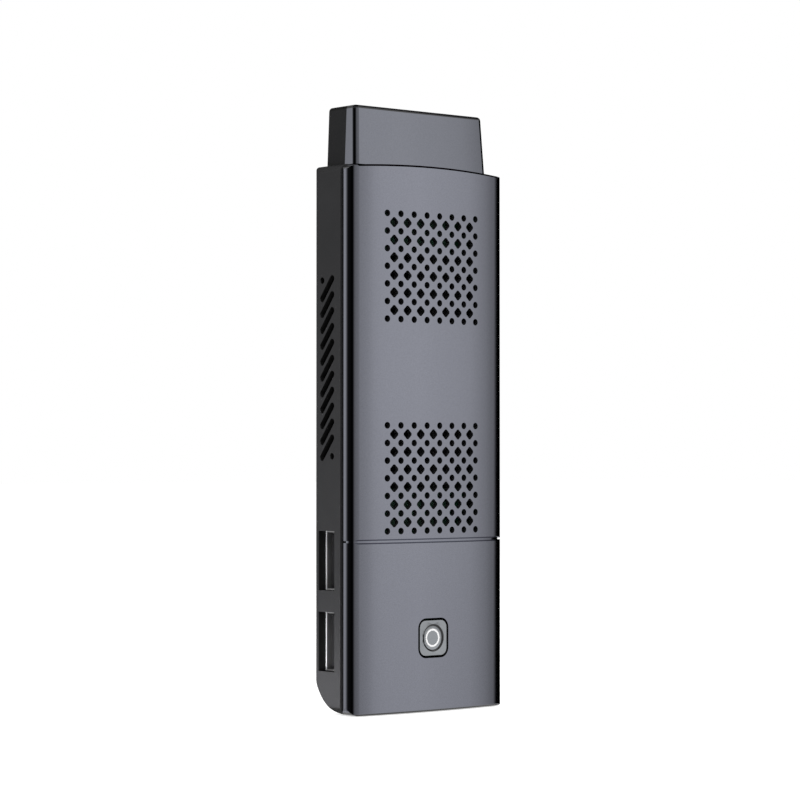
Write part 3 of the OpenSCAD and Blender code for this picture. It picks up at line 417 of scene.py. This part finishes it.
def ring_inner(material):
    """1 on the ring's inner part, which lights up, and 0 on its outer edge, which is made grey."""
    out = distance(material, (0.0, 0.0, key_middle), (1.0, 0.0, 1.0))
    return fall(material, out, *ring_span)


# Kinds of material

# Worn edges: reach, turn of the surface within it, grains in a metre, share of the lighter colour,
# span by which noise breaks that share, and how much lighter the colour is
wear_reach = 0.0003
wear_turn = (0.8, 0.99)
wear_grain = 600.0
wear_share = 0.25
wear_breaks = (0.3, 1.0)
wear_gain, wear_lift = 1.8, 0.02

# Grained surfaces: how many fine grains a broad one spans, and the roughness's least and greatest share
broad_grains = 60
rough_least, rough_most = 0.9, 1.12

# Lacquer: flakes, haze and waves in a metre, change of colour, span of the roughness,
# strength and depth of the waves, and the near-black painted shade that stands where there is no lacquer
flake_grain = 9000.0
haze_grain = 90.0
wave_grain = 700.0
flake_share = 0.05
lacquer_rough = (0.03, 0.04)
wave_relief = (0.006, 0.00004)
painted_shade_black = (0.012, 0.012, 0.013)


def new_material(name, colour, roughness, metallic=0.0, **sockets):
    """A Principled material whose constant values sit on the shader's own sockets."""
    material = bpy.data.materials.new(name)
    material.use_nodes = True
    shader = shader_of(material)
    shader.inputs["Base Color"].default_value = (*colour, 1.0)
    shader.inputs["Roughness"].default_value = roughness
    shader.inputs["Metallic"].default_value = metallic
    for key, value in sockets.items():
        shader.inputs[key.replace("_", " ")].default_value = value
    material.diffuse_color = (*colour, 1.0)
    return material


def worn_edges(material, base, colour):
    """Rubbed edges: a lighter colour, broken by noise, where the surface turns within a short reach."""
    rounded = add(material, "ShaderNodeBevel", samples=4, Radius=wear_reach)
    face = add(material, "ShaderNodeNewGeometry")
    turn = add(material, "ShaderNodeVectorMath", operation="DOT_PRODUCT")
    link(material, rounded.outputs["Normal"], turn.inputs[0])
    link(material, face.outputs["Normal"], turn.inputs[1])
    edge = spread(material, turn.outputs["Value"], wear_share, 0.0, *wear_turn)
    broken = spread(material, noise(material, wear_grain, detail=3.0), *wear_breaks)
    lighter = [min(1.0, c * wear_gain + wear_lift) for c in colour]
    return mixed(material, join(material, edge, broken), base, lighter)


def grained(name, colour, roughness, grain, share, strength, depth, metallic=0.0, **sockets):
    """A material with grain in its colour, its roughness and its relief, and worn edges."""
    material = new_material(name, colour, roughness, metallic, **sockets)
    fine = noise(material, grain, detail=3.0)
    base = mixed(material, spread(material, fine, 0.0, 1.0), *shades(colour, share))
    into(material, worn_edges(material, base, colour), "Base Color")
    broad = noise(material, grain / broad_grains, detail=2.0)
    rough = spread(material, broad, roughness * rough_least, roughness * rough_most)
    into(material, rough, "Roughness")
    bump(material, fine, strength, depth)
    return material


def gunmetal(name, colour, mask):
    """Gloss metallic lacquer with flakes, a faint haze and a slight waviness, and near-black painted shade
    where the mask is 0.
    """
    coat = {"Coat_Weight": 0.3, "Coat_Roughness": 0.02}
    material = new_material(name, colour, roughness=0.035, metallic=1.0, **coat)
    flakes = add(material, "ShaderNodeTexVoronoi", Scale=flake_grain)
    link(material, object_place(material), flakes.inputs["Vector"])
    tone = add(material, "ShaderNodeSeparateColor")
    link(material, flakes.outputs["Color"], tone.inputs["Color"])
    base = mixed(material, spread(material, tone.outputs[0], 0.0, 1.0), *shades(colour, flake_share))
    # Where the mask is 0 the lacquer gives way to near-black, non-metallic painted shade
    lacquer_not_painted_shade = mask(material)
    into(material, mixed(material, lacquer_not_painted_shade, painted_shade_black, base), "Base Color")
    into(material, lacquer_not_painted_shade, "Metallic")
    haze = noise(material, haze_grain, detail=3.0)
    into(material, spread(material, haze, *lacquer_rough), "Roughness")
    bump(material, noise(material, wave_grain, detail=1.0), *wave_relief)
    return material


def darkened_by_mask(material, colour, mask):
    """Keeps the material's colour where the mask is 1 and paints a darker colour where it is 0, used for
    painted shade, a painted dark reflection, the port rims' painted highlight and the ring's grey edge.
    """
    source = shader_of(material).inputs["Base Color"].links[0].from_socket
    into(material, mixed(material, mask(material), colour, source), "Base Color")


# Materials of the record's slots

grains = {
    # colour, roughness, grains in a metre, change of colour, strength and depth of the relief, metal
    "ring_white": ((0.93, 0.93, 0.93), 0.35, 3000.0, 0.03, 0.03, 0.00002),
    "screw_steel": ((0.42, 0.42, 0.43), 0.32, 4000.0, 0.1, 0.05, 0.00003, 1.0),
    "plug_metal": ((0.66, 0.65, 0.62), 0.22, 2500.0, 0.06, 0.04, 0.00002, 1.0),
    "port_metal": ((0.95, 0.95, 0.96), 0.4, 2500.0, 0.06, 0.05, 0.00002, 0.3),
    "port_plastic": ((0.015, 0.015, 0.016), 0.45, 4000.0, 0.15, 0.08, 0.00003),
    "contact_gold": ((0.78, 0.56, 0.2), 0.25, 3000.0, 0.06, 0.04, 0.00002, 1.0),
    "board_green": ((0.012, 0.07, 0.035), 0.35, 900.0, 0.2, 0.08, 0.00004),
    "soc_laminate": ((0.02, 0.06, 0.04), 0.3, 2000.0, 0.12, 0.04, 0.00002),
    "chip_black": ((0.012, 0.012, 0.013), 0.5, 4000.0, 0.15, 0.1, 0.00003),
    "pad_soft": ((0.35, 0.44, 0.52), 0.7, 3000.0, 0.08, 0.1, 0.00004),
    "sink_black": ((0.012, 0.012, 0.013), 0.5, 2600.0, 0.12, 0.08, 0.00003, 0.6),
    "inductor_grey": ((0.07, 0.07, 0.07), 0.6, 3000.0, 0.15, 0.1, 0.00004),
    "capacitor_tan": ((0.4, 0.22, 0.05), 0.45, 3000.0, 0.1, 0.06, 0.00003),
    "shield_tin": ((0.6, 0.6, 0.58), 0.3, 1800.0, 0.06, 0.05, 0.00003, 1.0),
    "antenna_copper": ((0.6, 0.26, 0.1), 0.3, 1800.0, 0.08, 0.04, 0.00002, 1.0),
    "lead_black": ((0.012, 0.012, 0.012), 0.5, 3000.0, 0.1, 0.05, 0.00003),
    "switch_black": ((0.015, 0.015, 0.015), 0.5, 4000.0, 0.1, 0.08, 0.00003),
    "switch_cream": ((0.7, 0.63, 0.47), 0.5, 3000.0, 0.05, 0.05, 0.00003),
    "led_clear": ((0.85, 0.85, 0.75), 0.25, 3000.0, 0.03, 0.03, 0.00002),
}
shell_grain = (0.55, 5200.0, 0.12, 0.22, 0.00005)
housing_black = (0.0258, 0.0258, 0.0274)
cap_black = (0.011, 0.011, 0.012)
materials = {name: grained(name, *values) for name, values in grains.items()}
materials.update({
    "housing_plastic": grained("housing_plastic", housing_black, *shell_grain, Specular_IOR_Level=0.2),
    "cap_matte": grained("cap_matte", cap_black, *shell_grain, Specular_IOR_Level=0.25),
    # Painted shade and painted dark reflections: the cover is near black on its ends, lowest rim, hole walls
    # and insides
    "cover_plastic": gunmetal("cover_plastic", (0.2395, 0.2475, 0.2915), outside),
    # Painted dark reflection: the cap's front is near black and not metallic along its top rim
    "cap_gloss": gunmetal("cap_gloss", (0.205, 0.213, 0.247), under_top),
    # Painted shade: the key is near black on its dish's wall, its sides and its tabs
    "key_plastic": gunmetal("key_plastic", (0.325, 0.342, 0.36), key_top),
})
# Painted highlight: the port metal stays bright only on the rims' back edge, and is grey painted shade on
# their other edges
darkened_by_mask(materials["port_metal"], (0.3, 0.3, 0.305), back_rim)
# Painted shade: the port metal is near black deeper inside the mouths
darkened_by_mask(materials["port_metal"], (0.09, 0.09, 0.092), near_mouth)
# The ring is made grey on its outer edge
darkened_by_mask(materials["ring_white"], (0.42, 0.42, 0.42), ring_inner)
# Painted shade: the housing is near black in the slots and mouths of the side walls and where the heel turns
# under
darkened_by_mask(materials["housing_plastic"], (0.006, 0.006, 0.006), clear_of_painted_shade)
# Painted dark reflection: the cap's matte side is near black along its top rim
darkened_by_mask(materials["cap_matte"], (0.002, 0.002, 0.002), under_top)
for entry in frame["record"]["subparts"]:
    dressed = shown[entry["node"]].data
    dressed.materials.clear()
    dressed.materials.append(materials[entry["material_slot"]])


# Stage: light tent, floor, world and lamps

tent_sides = 72
tent_radius = 0.8
tent_low, tent_high = -0.9, 0.75
tent_steps = [
    # direction in degrees from the front to the right, and the light there
    (-180, 0.4), (-148, 0.5), (-138, 0.8), (-125, 0.46), (-113, 0.14), (-103, 0.02), (-50, 0.0),
    (-41, 0.09), (-29, 0.33), (-17, 0.39), (-5, 0.43), (7, 0.47), (18, 0.52), (23, 0.58), (25, 0.7),
    (26.2, 0.86), (27.5, 0.94), (30, 0.98), (37, 1.0), (42, 0.94), (45.3, 0.91), (47.4, 0.88),
    (49.5, 0.837), (51.5, 0.72), (52.6, 0.655), (53.6, 0.58), (54.7, 0.465), (55.2, 0.385), (57, 0.375),
    (60, 0.0), (120, 0.0), (180, 0.4),
]
# The lit panel's sharp right end, its lean per metre of height, and where the light at the back begins
panel_span = (math.radians(55.45), math.radians(56.05))
panel_lean = math.radians(-1.17)
back_span = (math.radians(110), math.radians(120))
# Heights of the pale foot and of the slight change of the light above it, and both lights
foot_span = (-0.25, -0.2)
foot_light = (0.72, 0.72, 0.72)
height_span = (-0.2, -0.03)
height_light = (0.86, 0.99)
# The tent's lower end: its light, and the distances between which the object's shade on it ends
ground_light = 0.62
ground_span = (0.2, 0.32)
# The floor's half width and the light that it shows to the camera, and the world's soft fill
floor_reach = 4.0
floor_glow = 0.52
fill_light = 0.65


def stage_object(name, vertices, faces, material):
    """A mesh of the stage, which isn't a piece of the part."""
    mesh = bpy.data.meshes.new(name)
    mesh.from_pydata(vertices, [], faces)
    thing = bpy.data.objects.new(name, mesh)
    scene.collection.objects.link(thing)
    mesh.materials.append(material)
    return thing


def emission_material(name):
    """A material that only gives light, and the sockets of its light."""
    material = bpy.data.materials.new(name)
    material.use_nodes = True
    material.node_tree.nodes.clear()
    output = add(material, "ShaderNodeOutputMaterial")
    emission = add(material, "ShaderNodeEmission")
    link(material, emission.outputs["Emission"], output.inputs["Surface"])
    return material, emission.inputs


def light_by_steps(material, turn):
    """The tent's light at a direction, between the steps."""
    ramp = add(material, "ShaderNodeValToRGB")
    elements = ramp.color_ramp.elements
    while len(elements) > 1:
        elements.remove(elements[-1])
    for index, (angle, value) in enumerate(tent_steps):
        position = (angle + 180) / 360
        element = elements[0] if index == 0 else elements.new(position)
        element.position = position
        element.color = (value, value, value, 1.0)
    link(material, rise(material, turn, -math.pi, math.pi), ramp.inputs["Fac"])
    return ramp.outputs["Color"]


def tent_wall():
    """Light that goes with the direction, ends sharply on the right and is pale low down, like the floor."""
    material, light = emission_material("tent_light")
    axes = place_axes(material)
    front = add(material, "ShaderNodeMath", operation="MULTIPLY")
    front.inputs[1].default_value = -1.0
    link(material, axes["Y"], front.inputs[0])
    turn = join(material, axes["X"], front.outputs["Value"], "ARCTAN2")
    lean = add(material, "ShaderNodeMath", operation="MULTIPLY_ADD")
    lean.inputs[1].default_value = panel_lean
    link(material, axes["Z"], lean.inputs[0])
    link(material, turn, lean.inputs[2])
    before = fall(material, lean.outputs["Value"], *panel_span)
    beyond = rise(material, turn, *back_span)
    panel = add(material, "ShaderNodeVectorMath", operation="SCALE")
    link(material, light_by_steps(material, turn), panel.inputs["Vector"])
    link(material, join(material, before, beyond, "MAXIMUM"), panel.inputs["Scale"])
    foot = fall(material, axes["Z"], *foot_span)
    link(material, mixed(material, foot, panel.outputs["Vector"], foot_light), light["Color"])
    link(material, spread(material, axes["Z"], *height_light, *height_span), light["Strength"])
    return material


def tent_ground():
    """Pale light with the object's shade in its middle."""
    material, light = emission_material("tent_ground")
    out = distance(material, (0.0, 0.0, 0.0), (1.0, 1.0, 0.0))
    link(material, spread(material, out, 0.0, ground_light, *ground_span), light["Strength"])
    return material


def tent_top():
    """No light."""
    material, light = emission_material("tent_top")
    light["Strength"].default_value = 0.0
    return material


def tent():
    """A round screen, closed at both ends, that only gloss surfaces mirror."""
    vertices = []
    for z in (tent_low, tent_high):
        for i in range(tent_sides):
            angle = 2 * math.pi * i / tent_sides
            vertices.append((tent_radius * math.sin(angle), -tent_radius * math.cos(angle), z))
    faces = []
    for i in range(tent_sides):
        after = (i + 1) % tent_sides
        faces.append((i, after, tent_sides + after, tent_sides + i))
    faces += [tuple(range(tent_sides)), tuple(range(tent_sides, 2 * tent_sides))]
    thing = stage_object("light_tent", vertices, faces, tent_wall())
    for index, end in enumerate((tent_ground(), tent_top())):
        thing.data.materials.append(end)
        thing.data.polygons[tent_sides + index].material_index = 1 + index
    thing.visible_camera = False
    thing.visible_diffuse = False
    thing.visible_shadow = False


def floor():
    """A pale floor that shows white to the camera and keeps the object's shadow."""
    material = new_material("floor_paper", (0.8, 0.8, 0.8), roughness=0.9, Specular_IOR_Level=0.0)
    paper = shader_of(material).outputs["BSDF"]
    path = add(material, "ShaderNodeLightPath")
    glow = add(material, "ShaderNodeEmission", Strength=floor_glow)
    bright = add(material, "ShaderNodeAddShader")
    mix = add(material, "ShaderNodeMixShader")
    link(material, paper, bright.inputs[0])
    link(material, glow.outputs["Emission"], bright.inputs[1])
    link(material, path.outputs["Is Camera Ray"], mix.inputs["Fac"])
    link(material, paper, mix.inputs[1])
    link(material, bright.outputs["Shader"], mix.inputs[2])
    output = material.node_tree.nodes["Material Output"]
    link(material, mix.outputs["Shader"], output.inputs["Surface"])
    signs = ((-1, -1), (1, -1), (1, 1), (-1, 1))
    corners = [(x * floor_reach, y * floor_reach, floor_z) for x, y in signs]
    thing = stage_object("floor", corners, [(0, 1, 2, 3)], material)
    thing.visible_glossy = False


def surroundings():
    """White to the camera and in mirrors, and a plain soft fill for the rest."""
    world = bpy.data.worlds.new("studio")
    world.use_nodes = True
    scene.world = world
    ground = world.node_tree.nodes["Background"]
    ground.inputs["Color"].default_value = (1.0, 1.0, 1.0, 1.0)
    path = add(world, "ShaderNodeLightPath").outputs
    seen = join(world, path["Is Camera Ray"], path["Is Glossy Ray"], "MAXIMUM")
    clear = join(world, seen, path["Is Transmission Ray"], "MAXIMUM")
    link(world, spread(world, clear, fill_light, 1.0, 0.0, 1.0), ground.inputs["Strength"])


def lamp(name, place, target, size, power):
    """A soft lamp that shines from its place to a target and isn't seen or mirrored.

    Its size is a width and a height, and its power is in watts.
    """
    light = bpy.data.lights.new(name, "AREA")
    light.shape = "RECTANGLE"
    light.size, light.size_y = size
    light.energy = power
    thing = bpy.data.objects.new(name, light)
    scene.collection.objects.link(thing)
    thing.location = place
    thing.rotation_mode = "QUATERNION"
    thing.rotation_quaternion = (Vector(place) - Vector(target)).to_track_quat("Z", "Y")
    thing.visible_camera = False
    thing.visible_glossy = False


tent()
floor()
surroundings()
lamp("key_lamp", (-0.27, -0.46, 0.4), (0.0, 0.0, -0.06), (0.35, 0.35), 2.4)
lamp("right_lamp", (0.55, 0.1, 0.25), (0.0, 0.0, -0.06), (0.35, 0.35), 2.2)
lamp("wall_lamp", (-0.08, 0.0, -0.08), (-0.0225, 0.0, -0.08), (0.1, 0.008), 0.018)
lamp("low_lamp", (-0.0425, 0.001, -0.1195), (-0.0225, 0.001, -0.1195), (0.03, 0.003), 0.0125)


# Camera at the photograph's viewing angle

lens = bpy.data.cameras.new("camera")
lens.lens = 122.85
lens.sensor_width = 36.0
lens.clip_start = 0.01
lens.clip_end = 20.0
camera = bpy.data.objects.new("camera", lens)
scene.collection.objects.link(camera)
scene.camera = camera
yaw, pitch = math.radians(-40.0), math.radians(1.14)
camera.location = (-0.3994, -0.4733, -0.0643)
forward = Vector((-math.sin(yaw) * math.cos(pitch), math.cos(yaw) * math.cos(pitch), math.sin(pitch)))
camera.rotation_mode = "QUATERNION"
camera.rotation_quaternion = forward.to_track_quat("-Z", "Y")
